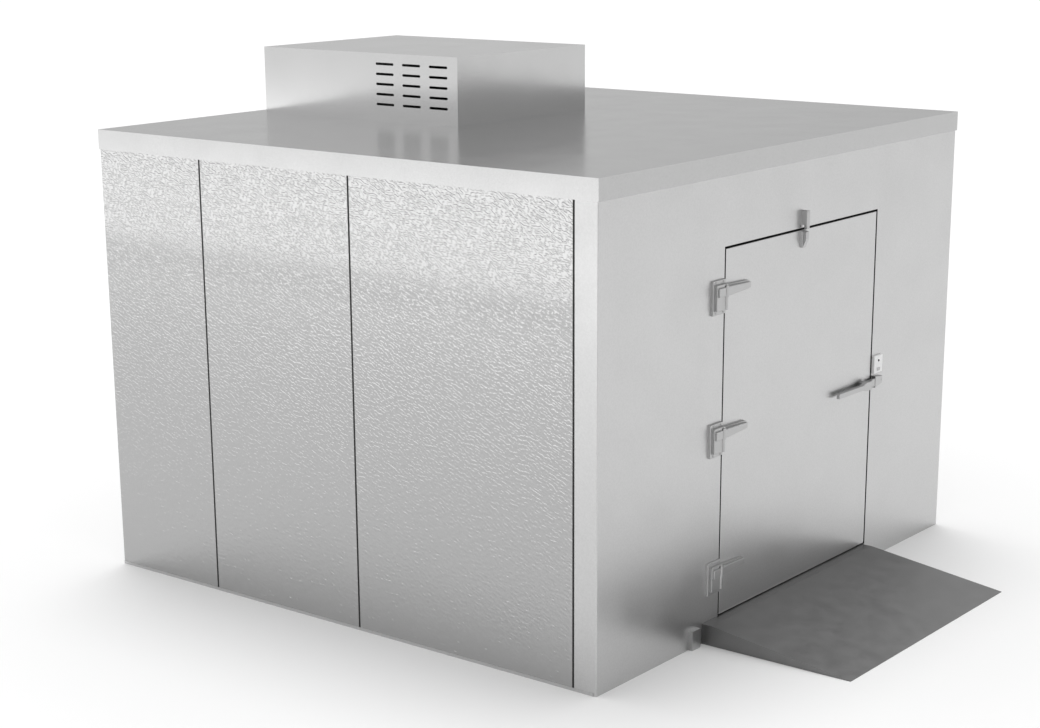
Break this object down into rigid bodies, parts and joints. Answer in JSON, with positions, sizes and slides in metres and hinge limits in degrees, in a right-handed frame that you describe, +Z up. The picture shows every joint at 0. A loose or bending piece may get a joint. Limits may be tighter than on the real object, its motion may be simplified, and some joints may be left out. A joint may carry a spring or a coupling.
{
  "type": "walk-in cold room",
  "caption": "Walk-in cold room of insulated steel panels with a hinged flush door, a ramp to its threshold and a louvred cooling unit on the roof.",
  "frame": {"origin": "centre of the room's footprint, at ground level", "axes": "+Z up, the front wall with the door faces -Y, +X is to the right seen from the front"},
  "size_m": [3.532, 4.258, 2.877],
  "materials": {
    "embossed_steel": "stucco embossed",
    "smooth_steel": "satin",
    "roof_steel": "satin",
    "casing_steel": "satin",
    "ramp_steel": "matt",
    "trim_steel": "satin",
    "cast_fittings": "satin",
    "frame_plastic": "moulded",
    "switch_plastic": "moulded",
    "floor_resin": "matt",
    "panel_foam": "coated",
    "seal_rubber": "matt"
  },
  "bodies": {
    "room": {"floor_panels": "floor_resin", "threshold": "ramp_steel", "left_wall_front_panel": "embossed_steel", "left_wall_middle_panel": "embossed_steel", "left_wall_rear_panel": "embossed_steel", "right_wall_front_panel": "embossed_steel", "right_wall_middle_panel": "embossed_steel", "right_wall_rear_panel": "embossed_steel", "rear_wall_panel_1": "embossed_steel", "rear_wall_panel_2": "embossed_steel", "rear_wall_panel_3": "embossed_steel", "corner_post_left": "smooth_steel", "corner_post_right": "smooth_steel", "front_wall_left": "smooth_steel", "front_wall_right": "smooth_steel", "front_wall_header": "smooth_steel", "base_trim": "trim_steel", "ceiling_panels": "panel_foam", "roof_cover": "roof_steel", "door_stop_left": "frame_plastic", "door_stop_right": "frame_plastic", "door_stop_head": "frame_plastic", "hinge_base_top": "cast_fittings", "hinge_base_middle": "cast_fittings", "hinge_base_bottom": "cast_fittings", "latch_strike": "cast_fittings", "closer_hook": "cast_fittings", "light_switch": "switch_plastic", "unit_louvred_side": "casing_steel", "unit_right_side": "casing_steel", "unit_front_side": "casing_steel", "unit_rear_side": "casing_steel", "unit_lid": "casing_steel", "ramp": "ramp_steel", "foot_bracket": "trim_steel"},
    "door": {"door_leaf": "smooth_steel", "door_seal": "seal_rubber", "hinge_strap_top": "cast_fittings", "hinge_strap_middle": "cast_fittings", "hinge_strap_bottom": "cast_fittings", "latch_body": "cast_fittings", "inside_release": "frame_plastic", "closer_body": "cast_fittings"},
    "lever": {"latch_lever": "cast_fittings"}
  },
  "joints": [
    {"name": "door_swing", "type": "hinge", "parent": "room", "child": "door", "pos_m": [-0.712, -1.716, 1.0675], "axis": [0, 0, -1], "range_deg": [0, 110]},
    {"name": "lever_pull", "type": "hinge", "parent": "door", "child": "lever", "pos_m": [0.788, -1.724, 1.063], "axis": [0, 0, 1], "range_deg": [0, 25]}
  ]
}
